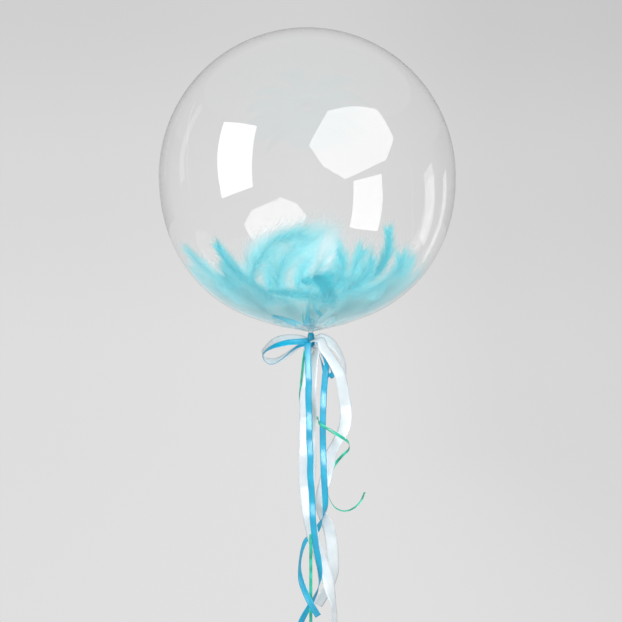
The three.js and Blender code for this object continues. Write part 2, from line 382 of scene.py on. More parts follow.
# The routes of the ribbons. A tail also has its waves, as waved() takes them
BOW_LOOPS = [
    ["blue_loop_left", BLUE_WIDTH, [
        [-7, -4, 525, 90, 72],
        [-18, -9, 524.5, 90, 72],
        [-34, -13, 523.5, 90, 66],
        [-49, -15, 520.5, 90, 55],
        [-61, -13, 516.5, 92, 40],
        [-71, -8, 511, 95, 20],
        [-77, -1, 504, 96, 6],
        [-77, 6, 496.5, 92, 0],
        [-72, 9, 490, 90, 0],
        [-65, 10, 487.5, 90, 2],
        [-56, 9, 490, 90, 4],
        [-44, 7, 498.5, 90, 8],
        [-32, 4, 509, 90, 16],
        [-20, 2, 517, 90, 30],
        [-8.5, 1, 520, 90, 40],
    ]],
    ["white_loop_left", WHITE_WIDTH, [
        [-7.5, 8.5, 527, 90, 30],
        [-18, 6, 530, 90, 30],
        [-33, 4, 530.5, 90, 32],
        [-49, 4, 528.5, 90, 34],
        [-63, 6, 523, 90, 30],
        [-74, 14, 514, 92, 18],
        [-79, 21, 505, 94, 8],
        [-76, 27, 497, 92, 14],
        [-67, 29.5, 492.5, 90, 22],
        [-56, 29, 493, 90, 26],
        [-44, 26, 499, 90, 28],
        [-31, 22, 508, 90, 28],
        [-19, 18, 516, 90, 20],
        [-8, 17, 521, 90, 10],
    ]],
    ["white_loop_right", WHITE_WIDTH, [
        [6, 16.5, 527, 60, 42],
        [15, 17, 530, 68, 44],
        [27, 15, 526, 76, 44],
        [38, 12, 517, 80, 40],
        [48, 12, 503, 78, 32],
        [54, 15, 487, 74, 22],
        [56, 20, 472, 80, 8],
        [50, 26, 464, 90, 0],
        [41, 28, 469, 96, -10],
        [32, 28, 482, 96, -20],
        [23, 27, 496, 92, -20],
        [14, 25, 507, 84, -6],
        [6, 24, 514, 84, 0],
    ]],
    ["blue_loop_right", BLUE_WIDTH, [
        [8, 3, 524, 70, 0],
        [15, 4, 518, 66, 0],
        [23, 7, 509, 60, 4],
        [31, 9, 496, 52, 8],
        [36.5, 10, 484, 44, 8],
        [37, 11.5, 474, 30, 0],
        [32, 12.5, 468, 10, -10],
        [25, 12.5, 472, 20, -20],
        [20, 11.5, 483, 60, -20],
        [16, 10, 496, 80, -10],
        [11.5, 8, 507, 85, 0],
        [7.5, 6.4, 513, 90, 0],
    ]],
]

TAILS = [
    ["blue_tail_left", BLUE_WIDTH, [6, 58, 52, 30, 14, 26, 78, 22, 40], [
        [-4, -7.5, 522, 0],
        [-4.6, -9.5, 508, 0],
        [-4.6, -10, 490, 0],
        [-4, -9, 460, 4],
        [-3.4, -9.6, 430, -4],
        [-2.8, -9, 400, 4],
        [-2, -9.6, 370, -4],
        [-1.3, -9, 340, 4],
        [-0.6, -9.4, 310, -3],
        [1, -9, 285, 2],
        [2.4, -9, 262, 0],
        [3.2, -9, 240, 0],
        [5, -9, 220, 0],
        [8.4, -9, 193, -8],
        [12.3, -8, 172, -20],
        [14.8, -6, 152, -40],
        [13.6, -1, 134, -78],
        [8.4, 5, 115, -118],
        [-3, 9, 93, -150],
        [-14, 9, 73, -160],
        [-21.5, 8, 52, -160],
    ]],
    ["blue_tail_right", BLUE_WIDTH, [36, 16, 40, 24, 68, 26, 60], [
        [10, -5, 524, 70],
        [16, -7.6, 511, 74],
        [21, -9, 498, 74],
        [24, -10, 486, 40],
        [23.4, -10.4, 473, 6],
        [22, -10, 455, 0],
        [20.6, -9.4, 435, 4],
        [19.4, -10, 390, -4],
        [19.8, -9.4, 349, 4],
        [21.4, -10, 308, -4],
        [22.8, -9, 280, 6],
        [23.4, -6, 260, 28],
        [21, -1, 243, 70],
        [14, 6, 226, 130],
        [6, 10.5, 213, 150],
        [-7, 11, 202, 140],
        [-13, 8, 189, 122],
        [-16.8, 4, 172, 112],
        [-18, -1, 154, 120],
        [-15.5, -7, 138, 148],
        [-10.5, -11, 124, 165],
        [-0.6, -14, 103, 178],
        [12, -14, 82, 180],
    ]],
    ["white_tail_middle", WHITE_WIDTH, [10, 60, 50, 40, 40], [
        [8.5, -1, 512, -58],
        [7.8, -1, 495, -54],
        [7.4, -1, 470, -46],
        [7.6, -1, 450, -44],
        [9.2, -0.6, 428, -54],
        [8.6, 0.8, 414, -60],
        [6, 4.5, 399, -64],
        [4.4, 8, 378, -48],
        [1.5, 10.4, 350, -20],
        [-1.5, 10, 315, -8],
        [-3.5, 10.5, 280, -4],
    ]],
    ["white_tail_left", WHITE_WIDTH, [20, 50, 50, 60, 50, 50, 60], [
        [-3, 9.5, 512.5, 62],
        [-3, 10.5, 500, 56],
        [-4.6, 10.5, 470, 30],
        [-7.6, 9, 440, 4],
        [-8.6, 7, 412, -8],
        [-9, 5.5, 384, -4],
        [-10.2, 5, 350, 6],
        [-11, 5, 316, 10],
        [-9, 5, 282, 6],
        [-5.3, 5, 254, 0],
        [-0.5, 5, 231, -6],
        [6, 5, 203, -8],
        [12.5, 4.6, 182, -6],
        [19, 4, 163, 0],
        [26, 3, 143, 10],
        [32.5, 2, 117, 40],
        [37.2, 2, 99, 66],
        [37.4, 3, 84, 58],
        [36.4, 4, 68, 48],
        [35.6, 4, 52, 46],
    ]],
    ["white_tail_right", WHITE_WIDTH, [30, 50, 50, 60, 60, 50, 50], [
        [15.5, -10, 527, 50, 20],
        [22, -12, 512, 44, 16],
        [30.5, -12, 497, 40, 10],
        [39, -11, 480, 34, 8],
        [46, -9, 463, 26, 4],
        [51.5, -7, 444, 16, 0],
        [56, -5, 420, 4],
        [57, -3, 398, -10],
        [54, 0, 376, -30],
        [46, 4, 357, -40],
        [35, 7, 341, -24],
        [28.5, 8, 320, -12],
        [24, 8, 300, -20],
        [19.6, 9, 278, -45],
        [18.5, 9.5, 260, -58],
        [23, 9.6, 243, -34],
        [29, 9.6, 224, -10],
        [33.4, 10, 200, 4],
        [36.6, 12, 170, 22],
        [36.6, 16, 148, 30],
        [30.5, 19, 127, 34],
        [20, 20, 109, 30],
        [11, 20, 95, 26],
    ]],
]

CURL = [
    [-8, 16, 516, 44],
    [-11.2, 17.5, 500, 40],
    [-13.6, 18.5, 478, 40],
    [-16.2, 19.4, 452, 44],
    [-17.4, 20.5, 432, 40, 20],
    [-14, 22, 418, 10, 50],
    [-4, 21, 409, 0, 70],
    [4.5, 16, 403.5, -20, 76],
    [11.6, 4.5, 399.5, -50, 76],
    [12.4, -8.6, 395.5, -50, 76],
    [16, -15.5, 391.3, -30, 72],
    [26.5, -18, 385, -10, 62],
    [38, -18, 378, 20, 60],
    [49, -14, 371, 50, 60],
    [60.5, -6.6, 362, 80, 50],
    [61.6, 3, 350, 110, 40],
    [50.5, 12, 338, 130, 40],
    [39.5, 18, 324, 150, 30],
    [31, 19, 306, 150, 10],
    [27.5, 16, 289, 110, 0],
    [29, 10, 273, 90, 6],
    [37, 2, 258, 86, 14],
    [48, -3, 251.5, 90, 18],
    [60, -4, 251, 92, 22],
    [72, -3, 257, 102, 24],
    [81.5, 0, 267, 110, 22],
    [87.5, 4, 280, 114, 18],
]


def tether_route():
    """Straight down from the tie to the knot, turning a quarter to face the viewer."""
    top = (PINCH_Z - NECK_LENGTH - TETHER_GAP) / MM
    foot = (KNOT_Z + KNOT_HEIGHT / 2 + LOOP_GAP) / MM
    return [[0, 0, top, 90], [0, 0, 0.9 * top, 90], [0, 0, 0.75 * top, 60], [0, 0, 0.5 * top, 0],
            [0, 0, 0.25 * top, 0], [0, 0, foot, 0]]


def loop_route():
    """The teardrop loop below the knot, which opens along Y: an arc with a straight side up from each
    of its ends."""
    foot = LOOP_FOOT / MM
    top = (KNOT_Z - KNOT_HEIGHT / 2 - LOOP_GAP) / MM
    belly = LOOP_WIDTH / MM / 2
    shoulder = (top + 2 * belly) / 2 + 2
    first, step, count = 20, 27.5, 9
    around = []
    for i in range(count):
        angle = math.radians(first - step * i)
        around.append([belly * math.cos(angle), 0, foot + belly * (1 + math.sin(angle)), 90])
    right = [[1.4, 0, top, 90], [4.6, 0, shoulder, 90]]
    left = [[-4.6, 0, shoulder, 90], [-1.4, 0, top, 90]]
    return right + around + left


def ribbons(blue, white, green):
    """Every ribbon, and the knot in the tether."""
    satin = {BLUE_WIDTH: (blue, "blue_satin"), WHITE_WIDTH: (white, "white_satin")}
    curling = (green, "green_ribbon", CURLING_THICKNESS)
    for name, width, rows in BOW_LOOPS:
        rows = [tucked(rows[0]), *rows]
        if width == BLUE_WIDTH:
            rows.append(tucked(rows[-1]))
        piece, middle = ribbon(name, width, rows, *satin[width])
    for name, width, waves, rows in TAILS:
        rows = [tucked(rows[0]), *rows]
        piece, middle = ribbon(name, width, rows, *satin[width], steps=TAIL_STEPS, waves=waves)
    rows = [tucked(CURL[0]), *CURL]
    piece, middle = ribbon("green_curl", GREEN_WIDTH, rows, *curling, TAIL_STEPS)
    knot = tether_knot(green)
    loop, _ = ribbon("tether_loop", GREEN_WIDTH, loop_route(), *curling, LOOP_STEPS)
    piece, middle = ribbon("tether", GREEN_WIDTH, tether_route(), *curling)


# The knot and the tie, turned round the axis

# The knot's outline, as shares of its radius and height
KNOT_PROFILE = [[0, -0.5], [0.7, -0.5], [1, -0.25], [0.85, 0], [1, 0.25], [0.7, 0.5], [0, 0.5]]

# The tie's rolls of ribbon, as [radius, height from the pinch] in millimetres
TIE_PROFILE = [
    [3.1, -24.6], [4.6, -24.6], [5.5, -22], [5.9, -18.5], [5.3, -15.6], [5.7, -13], [6, -10.4],
    [5.2, -7.6], [5.4, -5.6], [4.6, -3.4], [3.8, -1.4], [3.1, -0.8],
]
TIE_SIDES = 40
TURNED_UV_RADIUS = 5 * MM


def add_turned_uv(piece):
    """A map that runs up the axis and round it, for a turned piece with a ribbon's finish."""
    mesh = piece.data
    layer = mesh.uv_layers.new(name="ribbon")
    for loop in mesh.loops:
        v = mesh.vertices[loop.vertex_index].co
        layer.data[loop.index].uv = (v.z, math.atan2(v.y, v.x) * TURNED_UV_RADIUS)


def tether_knot(green):
    """The knot that closes the loop at the tether's lower end."""
    profile = [[r * KNOT_RADIUS, KNOT_Z + h * KNOT_HEIGHT] for r, h in KNOT_PROFILE]
    knot = lathe("tether_knot_turns", profile, KNOT_SIDES)
    add_turned_uv(knot)
    knot.data.shade_smooth()
    finish_piece(knot, green)
    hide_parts("tether_knot")
    return knot


def lean(points):
    """From the upright bubble's own frame to its place over the pinch."""
    a = math.radians(LEAN_DEG)
    p = np.asarray(points, float)
    x = p[..., 0] * math.cos(a) - p[..., 2] * math.sin(a)
    z = p[..., 0] * math.sin(a) + p[..., 2] * math.cos(a)
    return np.stack([x, p[..., 1], z + PINCH_Z], -1)


def places(piece):
    return np.array([v.co for v in piece.data.vertices])


def move_to(piece, points):
    piece.data.vertices.foreach_set("co", points.ravel())
    piece.data.update()


def neck_tie(blue):
    """The blue ribbon wrapped round the neck."""
    profile = [[r * MM, h * MM] for r, h in TIE_PROFILE + TIE_PROFILE[:1]]
    tie = lathe("neck_tie_wrap", profile, TIE_SIDES)
    add_turned_uv(tie)
    move_to(tie, lean(places(tie)))
    tie.data.shade_smooth()
    finish_piece(tie, blue)
    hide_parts("neck_tie")


# The bubble of clear film

SIDE = BUBBLE_WIDTH / 2
MIDDLE = BUBBLE_HEIGHT - SIDE

# In millimetres, as [radius, height from the pinch]: the neck below it, and the start of the cone above
NECK_PROFILE = [[0, -36], [4.6, -36], [3.4, -30], [3, -24], [3, -5], [3, -1]]
CONE_START = [[5, 1.2], [16, 4], [34, 7.4], [56, 12]]


def lower_height(radius):
    """Height above the pinch of the bubble's lower half, at a radius."""
    inside = np.clip(1 - (np.asarray(radius) / SIDE) ** FULLNESS, 0, 1)
    return MIDDLE - (MIDDLE - FOOT_HEIGHT) * inside ** (1 / FULLNESS)


def bubble_profile():
    """The film's outline from the end of its neck to the crown, as [radius, height from the pinch]."""
    cone_end = [CONE_RADIUS / MM, float(lower_height(CONE_RADIUS)) / MM]
    cone = smooth_line(CONE_START + [cone_end], CONE_RINGS)
    start = math.asin(CONE_RADIUS / SIDE)
    body = []
    for i in range(1, BODY_RINGS):
        angle = start + (math.pi - start) * i / BODY_RINGS
        radius = SIDE * math.sin(angle)
        height = float(lower_height(radius)) if angle < math.pi / 2 else MIDDLE - SIDE * math.cos(angle)
        body.append([radius / MM, height / MM])
    rows = NECK_PROFILE + cone.tolist() + body + [[0, BUBBLE_HEIGHT / MM]]
    return [[r * MM, h * MM] for r, h in rows]


def bubble(film):
    """The film, with the pleats that fan out from the pinch."""
    piece = lathe("bubble_film", bubble_profile(), FILM_SIDES)
    co = places(piece)
    radius = np.hypot(co[:, 0], co[:, 1])
    growing = radius / PLEAT_CREST
    fading = (PLEAT_REACH - radius) / (PLEAT_REACH - PLEAT_CREST)
    depth = np.clip(np.minimum(growing, fading), 0, None) * ((co[:, 2] > 0) & (co[:, 2] < CONE_RADIUS))
    turn = np.arctan2(co[:, 1], co[:, 0])
    co[:, 2] += PLEAT_DEPTH * depth * np.cos(PLEATS * turn)
    move_to(piece, lean(co))
    piece.data.shade_smooth()
    apply(piece, "SOLIDIFY", thickness=FILM_THICKNESS, offset=-1)
    finish_piece(piece, film)
    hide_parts("bubble")
    piece.visible_shadow = False


# Feathers

SHAFT_STEPS = 28
SHAFT_CLEARANCE = 5 * MM
QUILL = 0.4 * MM
QUILL_TIP = 0.25
BARB_CLEARANCE = 1.0 * MM

# How many barbs a feather has and how its barbs lie. Angles are in degrees from the shaft
BARBS = 2300
BARB_STEPS = 5
FIRST_BARB, CROWDING = 0.02, 0.85
BARB_ANGLE, ANGLE_FALL, ANGLE_DRIFT, ANGLE_SCATTER = 64, 26, 9, 9
LIFT_DRIFT, HEADING_SCATTER, LOOSE_SCATTER = 0.22, 0.12, 0.8
DOWN_START, DOWN_FALL, DOWN_LEAST = 1.15, 1.6, 0.08
LENGTH_DRIFT = 0.12
SHORTEST, LONGEST = 0.5, 1.12
OUTLINE_START, OUTLINE_TURN, OUTLINE_POWER = 0.1, 0.7, 0.6
SWEEP, SWEEP_DRIFT, SWEEP_INWARD, CURL_DRIFT, CURL_SCATTER = 0.45, 0.15, 0.25, 0.25, 0.16
BARB_NARROW, BARB_WIDE, BARB_TIP = 0.5 * MM, 1.1 * MM, 0.2
PALE_END, TONE_SCATTER, TONE_DRIFT = 0.4, 0.07, 0.06

# The airy barbs stand out of the rest: how many, and how much looser, longer, thinner and paler
AIRY, AIRY_LOOSER, AIRY_LONGER, AIRY_THINNER, AIRY_PALER = 0.22, 0.45, 1.3, 0.5, 0.15

# What neighbouring barbs share: their angle, lift, length, sweep and curl
SHARED = 5
DRIFT_KNOTS = 9


def keep_inside(points, gap):
    """Points in the bubble's own frame, moved to at least a gap inside its film."""
    p = np.array(points, float)
    radius = np.hypot(p[..., 0], p[..., 1])
    middle = np.zeros_like(p)
    middle[..., 2] = MIDDLE
    away = p - middle
    low = away[..., 2] < 0
    slope = np.where(low, MIDDLE - FOOT_HEIGHT, SIDE)
    power = np.where(low, FULLNESS, 2.0)
    size = ((radius / SIDE) ** power + (np.abs(away[..., 2]) / slope) ** power) ** (1 / power)
    limit = 1 - gap / SIDE
    shrink = np.where(size > limit, limit / np.maximum(size, 1e-9), 1.0)
    return middle + away * shrink[..., None]


def shaft_line(root, bend, tip):
    """A feather's curved shaft, from its root, bend and tip in millimetres."""
    root, bend, tip = (np.array(p, float) * MM for p in (root, bend, tip))
    t = np.linspace(0, 1, SHAFT_STEPS)[:, None]
    return keep_inside((1 - t) ** 2 * root + 2 * t * (1 - t) * bend + t * t * tip, SHAFT_CLEARANCE)


def strips(roots, headings, lengths, curls, widths, normals):
    """Thin flat strips, one a barb, each a curve from its root. Returns points, faces and how far
    along its barb each point is."""
    n = len(roots)
    t = np.linspace(0, 1, BARB_STEPS + 1)[None, :, None]
    reach = lengths[:, None, None]
    line = roots[:, None] + headings[:, None] * (reach * t) + curls[:, None] * (reach * t * t)
    taper = 1.0 - (1.0 - BARB_TIP) * t
    across = unit(np.cross(headings, normals))[:, None] * (widths[:, None, None] / 2) * taper
    points = np.stack([line - across, line + across], 2).reshape(-1, 3)
    start = np.arange(n)[:, None] * 2 * (BARB_STEPS + 1) + np.arange(BARB_STEPS)[None] * 2
    start = start.ravel()
    faces = np.stack([start, start + 1, start + 3, start + 2], -1)
    return points, faces, np.broadcast_to(t, (n, BARB_STEPS + 1, 2)).ravel()


def drift():
    """Smooth random lines from 0 to 1, as a function, for what neighbouring barbs share."""
    heights = DRAW.normal(0, 1, (DRIFT_KNOTS, SHARED))
    knots = np.linspace(0, 1, DRIFT_KNOTS)
    return lambda u: np.stack([np.interp(u, knots, h) for h in heights.T], -1)


def grow_barbs(shaft, along, side, normal, spread, tone, down):
    """The barbs along a shaft, as points, faces and each point's tone."""
    u = DRAW.uniform(FIRST_BARB, 1, BARBS) ** CROWDING
    k = u * (SHAFT_STEPS - 1)
    i = np.minimum(k.astype(int), SHAFT_STEPS - 2)
    w = (k - i)[:, None]

    def at(line):
        return line[i] * (1 - w) + line[i + 1] * w

    left = DRAW.random(BARBS) < 0.5
    sign = np.where(left, -1.0, 1.0)[:, None]
    shared = np.where(left[:, None], drift()(u), drift()(u))
    turned, lifted, longer, swept, curled = (shared[:, n:n + 1] for n in range(SHARED))
    loose = (down * np.clip(DOWN_START - DOWN_FALL * u, DOWN_LEAST, 1))[:, None]
    airy = DRAW.random(BARBS) < AIRY
    angle = BARB_ANGLE - ANGLE_FALL * u + ANGLE_DRIFT * turned[:, 0] + DRAW.normal(0, ANGLE_SCATTER, BARBS)
    angle = np.radians(angle)[:, None]
    heading = at(along) * np.cos(angle) + at(side) * sign * np.sin(angle)
    heading += at(normal) * (LIFT_DRIFT * lifted) + DRAW.normal(0, HEADING_SCATTER, (BARBS, 3))
    loose = loose + AIRY_LOOSER * airy[:, None]
    heading = unit(heading + DRAW.normal(0, LOOSE_SCATTER, (BARBS, 3)) * loose)
    shape = np.sin(np.pi * (OUTLINE_START + OUTLINE_TURN * u)) ** OUTLINE_POWER
    reach = np.where(left, spread[0], spread[-1]) * MM
    length = reach * shape * (1 + LENGTH_DRIFT * longer[:, 0]) * DRAW.uniform(SHORTEST, LONGEST, BARBS)
    length = length * np.where(airy, AIRY_LONGER, 1.0)
    curl = at(along) * (SWEEP + SWEEP_DRIFT * swept) - at(side) * sign * SWEEP_INWARD
    curl = curl + at(normal) * (CURL_DRIFT * curled) + DRAW.normal(0, CURL_SCATTER, (BARBS, 3))
    width = DRAW.uniform(BARB_NARROW, BARB_WIDE, BARBS) * np.where(airy, AIRY_THINNER, 1.0)
    points, faces, end = strips(at(shaft), heading, length, curl, width, at(normal))
    own = DRAW.normal(0, TONE_SCATTER, BARBS) + TONE_DRIFT * turned[:, 0] + AIRY_PALER * airy
    own = np.repeat(own, 2 * (BARB_STEPS + 1))
    return keep_inside(points, BARB_CLEARANCE), faces, np.clip(tone + PALE_END * end + own, 0, 1)


def quill_tube(shaft, side, normal, quill):
    """The shaft as a thin four-sided tube, as points and faces."""
    corners = np.array([[-1, 0], [0, 1], [1, 0], [0, -1]]) * quill
    taper = np.linspace(1, QUILL_TIP, SHAFT_STEPS)[:, None]
    tube = np.stack([shaft + side * (a * taper) + normal * (b * taper) for a, b in corners], 1)
    ring = np.arange(SHAFT_STEPS - 1)[:, None] * 4
    a, b = (ring + np.arange(4)).ravel(), (ring + np.roll(np.arange(4), -1)).ravel()
    return tube.reshape(-1, 3), np.stack([a, b, b + 4, a + 4], -1)


def feather(name, root, bend, tip, spread, tone, down, materials, facing=(0, -1, 0), quill=QUILL):
    """A soft feather: a thin curved shaft with long loose barbs, and down at its root. Its root, bend
    and tip are in millimetres in the bubble's frame: across, away and up from the pinch. Spread is how
    far its barbs reach on each side, and tone runs from 0, full dye, to 1, pale. Down is how loose the
    barbs at its root are, facing where its flat side looks, and quill the shaft's radius."""
    shaft = shaft_line(root, bend, tip)
    along = unit(np.gradient(shaft, axis=0))
    side = unit(np.cross(along, np.array(facing, float)))
    normal = np.cross(side, along)
    points, faces, shade = grow_barbs(shaft, along, side, normal, spread, tone, down)
    tube, tube_faces = quill_tube(shaft, side, normal, quill)
    tube_faces = tube_faces + len(points)
    shade = np.concatenate([shade, np.full(len(tube), np.clip(tone, 0, 1))])
    piece = new_mesh(name, lean(np.vstack([points, tube])), np.vstack([faces, tube_faces]))
    layer = piece.data.attributes.new("tone", "FLOAT", "POINT")
    layer.data.foreach_set("value", shade.astype(np.float32))
    piece.data.shade_smooth()
    finish_piece(piece, materials[0])
    piece.data.materials.append(materials[1])
    index = np.zeros(len(piece.data.polygons), np.int32)
    index[len(faces):] = 1
    piece.data.polygons.foreach_set("material_index", index)
    piece.visible_shadow = False


# Each feather's shaft (root, bend and tip), how far its barbs reach on each side, its tone, and how
# loose its down is
FEATHERS = [
    # Two on the left, whose tips stand up along the wall
    [(-70, -70, 48), (-135, -80, 62), (-192, -30, 134), (25, 24), 0.4, 0.5],
    [(-66, -85, 55), (-114, -100, 86), (-144, -75, 140), (18, 20), 0.25, 0.45],
    [(-85, -20, 45), (-150, -20, 60), (-190, 20, 108), (28, 26), 0.35, 0.5],
    [(-56, -88, 56), (-98, -90, 76), (-130, -72, 112), (24, 24), 0.2, 0.5],
    # The dome in the middle
    [(-98, -80, 72), (-78, -95, 150), (-12, -75, 156), (34, 46), 0.42, 0.35],
    [(-92, -78, 60), (-112, -84, 112), (-66, -76, 144), (28, 22), 0.72, 0.6],
    [(4, -94, 84), (20, -104, 104), (34, -92, 128), (34, 20), 0.72, 0.4],
    [(-52, -70, 66), (-52, -80, 122), (4, -60, 144), (44, 44), 0.5, 0.5],
    [(34, -84, 62), (64, -94, 96), (44, -82, 132), (24, 20), 0.35, 0.5],
    [(30, -30, 60), (62, -40, 96), (40, -20, 138), (34, 28), 0.45, 0.5],
    [(-20, -20, 60), (-10, -10, 116), (18, 0, 148), (44, 44), 0.55, 0.6],
    # Two on the right, whose tips stand up along the wall
    [(66, -70, 70), (130, -88, 88), (126, -62, 160), (20, 20), 0.25, 0.45],
    [(78, -60, 50), (146, -60, 68), (148, -42, 114), (28, 24), 0.3, 0.45],
    [(90, -10, 48), (148, 10, 66), (162, 14, 110), (26, 26), 0.4, 0.5],
    [(46, -86, 58), (86, -92, 74), (98, -78, 108), (26, 22), 0.3, 0.5],
    # The pile below them
    [(4, -104, 86), (26, -118, 84), (28, -110, 52), (26, 24), 0.0, 0.6],
    [(-14, -80, 78), (14, -92, 88), (48, -80, 78), (34, 30), 0.2, 0.7],
    [(-70, -100, 66), (-10, -110, 60), (30, -100, 52), (26, 22), 0.25, 0.5],
    [(30, -90, 56), (80, -90, 52), (122, -70, 72), (30, 26), 0.35, 0.5],
    [(-30, -90, 50), (-90, -80, 48), (-132, -80, 90), (30, 30), 0.2, 0.6],
    # Behind them
    [(-60, 40, 50), (-70, 110, 90), (-60, 130, 134), (34, 30), 0.35, 0.4],
    [(60, 40, 50), (70, 90, 90), (90, 120, 134), (30, 34), 0.35, 0.4],
    [(-20, 60, 50), (-10, 100, 106), (20, 90, 144), (40, 40), 0.45, 0.5],
]

# The feathers that line the bowl, pressed to the film all round and shorter at the front
LINING = 15
LINING_REACH = 182 * MM
LINING_UNEVEN, LINING_BEAT = 0.08, 5.0
LINING_FRONT_CUT = 0.38
LINING_SPREAD = 50
LINING_TONE = 0.42
LINING_DOWN = 0.7
LINING_QUILL = 0.08 * MM

# A lining feather's root, in millimetres out and up from the pinch; its bend, as a share of its reach
# and millimetres up; its tip's millimetres above the film; and how far its flat side looks inward
LINING_ROOT = 16, 9
LINING_BEND = 0.62, 10
LINING_TIP_UP = 4
LINING_FACES_IN = 0.35


def lining_feather(k, materials):
    """One of the feathers round the bowl, with its root by the pinch."""
    turn = 2 * math.pi * (k + 0.5) / LINING
    out = np.array([math.cos(turn), math.sin(turn), 0])
    front = max(0, -math.sin(turn))
    uneven = 1 + LINING_UNEVEN * math.sin(LINING_BEAT * k)
    reach = LINING_REACH / MM * uneven * (1 - LINING_FRONT_CUT * front)
    root = out * LINING_ROOT[0] + [0, 0, LINING_ROOT[1]]
    tip = out * reach + [0, 0, LINING_TIP_UP + float(lower_height(reach * MM)) / MM]
    bend = out * LINING_BEND[0] * reach + [0, 0, LINING_BEND[1]]
    facing = -out * LINING_FACES_IN + np.array([0, 0, 1])
    spread = LINING_SPREAD, LINING_SPREAD
    feather(f"lining_feather_{k + 1:02d}", root, bend, tip, spread, LINING_TONE, LINING_DOWN, materials,
            facing=facing, quill=LINING_QUILL)


def feathers():
    materials = down_material(), shaft_material()
    for k, row in enumerate(FEATHERS, 1):
        feather(f"feather_{k:02d}", *row, materials)
    for k in range(LINING):
        lining_feather(k, materials)


# The studio: a pale floor that sweeps up into a wall all round, cards for the film to mirror, soft light

FLOOR_RADIUS = 4.5
FLOOR_FLAT = 2
SWEEP_RADIUS = 1.5
SWEEP_STEPS = 12
WALL_HEIGHTS = 5, 3
ROOM_SIDES = 96

# How brightly the room glows, up from the floor and across from left to right, in metres: painted shade
# makes it darker higher up and to the right
HEIGHT_GLOW_SHADE = [(0.3, 0.75), (1.2, 0.71), (2.1, 0.645), (5, 0.62)]
WIDTH_GLOW_SHADE = [(-6, 0.9), (-1.2, 0.975), (0, 1.0), (1.0, 0.91), (2.0, 0.87), (6, 0.8)]


def glow_material(name):
    """A material with no nodes yet, for what only glows, and a function that adds nodes to it."""
    material = bpy.data.materials.new(name)
    material.use_nodes = True
    material.node_tree.nodes.clear()
    material.cycles.emission_sampling = "NONE"
    return material, node_adder(material.node_tree)


def grey_stops(tones, low, high):
    """A ramp's stops for greys at places between a low and a high one."""
    return [((place - low) / (high - low), (tone, tone, tone)) for place, tone in tones]


def room_glow_material():
    """A pale room that glows by itself rather than being lit, with painted shade: a little darker higher up
    and to the right.
    """
    material, add = glow_material("pale_room_glow")
    coord = add("ShaderNodeTexCoord").outputs["Object"]
    split = add("ShaderNodeSeparateXYZ", {0: coord})

    def shade(axis, low, high, tones):
        place = {"From Min": low, "From Max": high, "Value": split.outputs[axis]}
        share = add("ShaderNodeMapRange", place)
        return ramp(add, share.outputs[0], grey_stops(tones, low, high), "EASE")

    reach = FLOOR_RADIUS + SWEEP_RADIUS
    # Painted shade: the room's glow is darker higher up and to the right
    height = shade("Z", 0, max(WALL_HEIGHTS), HEIGHT_GLOW_SHADE)
    width = shade("X", -reach, reach, WIDTH_GLOW_SHADE)
    both = add("ShaderNodeMix", {"Factor": 1, "A": height, "B": width}, data_type="RGBA",
               blend_type="MULTIPLY")
    glow = add("ShaderNodeEmission", {"Color": both.outputs["Result"]})
    add("ShaderNodeOutputMaterial", {"Surface": glow.outputs[0]})
    return material


def studio():
    """A round pale floor that sweeps up into a wall, with the balloon in its middle."""
    reach = FLOOR_RADIUS + SWEEP_RADIUS
    profile = [[reach, height] for height in WALL_HEIGHTS]
    for i in range(SWEEP_STEPS, -1, -1):
        a = math.radians(90 * i / SWEEP_STEPS)
        profile.append([FLOOR_RADIUS + SWEEP_RADIUS * math.sin(a), SWEEP_RADIUS * (1 - math.cos(a))])
    profile += [[FLOOR_FLAT, 0], [0, 0]]
    room = lathe("studio_floor", profile, ROOM_SIDES)
    room.data.shade_smooth()
    room.data.materials.append(room_glow_material())


# The octagon's and the rectangle's corners. The film's far side mirrors a part of each, whose corners
# are worked out from the whole's
OCTAGON = [(-0.8, -0.22), (-0.4, 0.54), (0.12, 0.53), (0.57, 0.46), (0.69, -0.08), (0.5, -0.41),
           (-0.05, -0.68), (-0.43, -0.58)]
INSIDE_SHIFT, INSIDE_SQUASH, INSIDE_RISE = -0.06, 0.85, 0.163
OCTAGON_INSIDE = [(x + INSIDE_SHIFT, INSIDE_SQUASH * y + INSIDE_RISE) for x, y in OCTAGON]
PANEL_X, PANEL_Y = 0.982 / 2, 1.454 / 2
PANEL = [(-PANEL_X, -PANEL_Y), (PANEL_X, -PANEL_Y), (PANEL_X, PANEL_Y), (-PANEL_X, PANEL_Y)]
PANEL_INSIDE_FOOT = -0.47
PANEL_INSIDE = [(x, max(y, PANEL_INSIDE_FOOT)) for x, y in PANEL]

# Each flat card's azimuth and elevation from the bubble's middle, its distance, where it faces, its
# roll, its outline, its strength, and whether the film's far side mirrors it
FLAT_CARDS = [
    ("octagon_card", (32.1, 28.2), 1.296, (45.8, -3.1), -7.0, OCTAGON, 4.2, False),
    ("octagon_card_inside", (32.1, 28.2), 1.31, (45.8, -3.1), -7.0, OCTAGON_INSIDE, 4.2, True),
    ("rectangle_card", (-53.0, 11.3), 1.93, (-69.2, 11.4), 7.8, PANEL, 5.5, False),
    ("rectangle_card_inside", (-53.0, 11.3), 1.95, (-69.2, 11.4), 7.8, PANEL_INSIDE, 5.5, True),
]

# Each arc card's line of azimuths and elevations, its width and strength, and the side that mirrors it
ARC_DISTANCE = 2.0
ARC_CARDS = [
    ("right_card", [(99, 5), (103, -3), (109, -14), (117, -31)], 0.4, 1.5, False),
    ("far_right_card", [(124, 4), (128, -5), (132, -18), (138, -32)], 0.24, 1.15, None),
    ("left_card", [(-122, 31), (-110, 22), (-101, 14), (-97, -2), (-96, -8)], 0.025, 1.1, None),
]

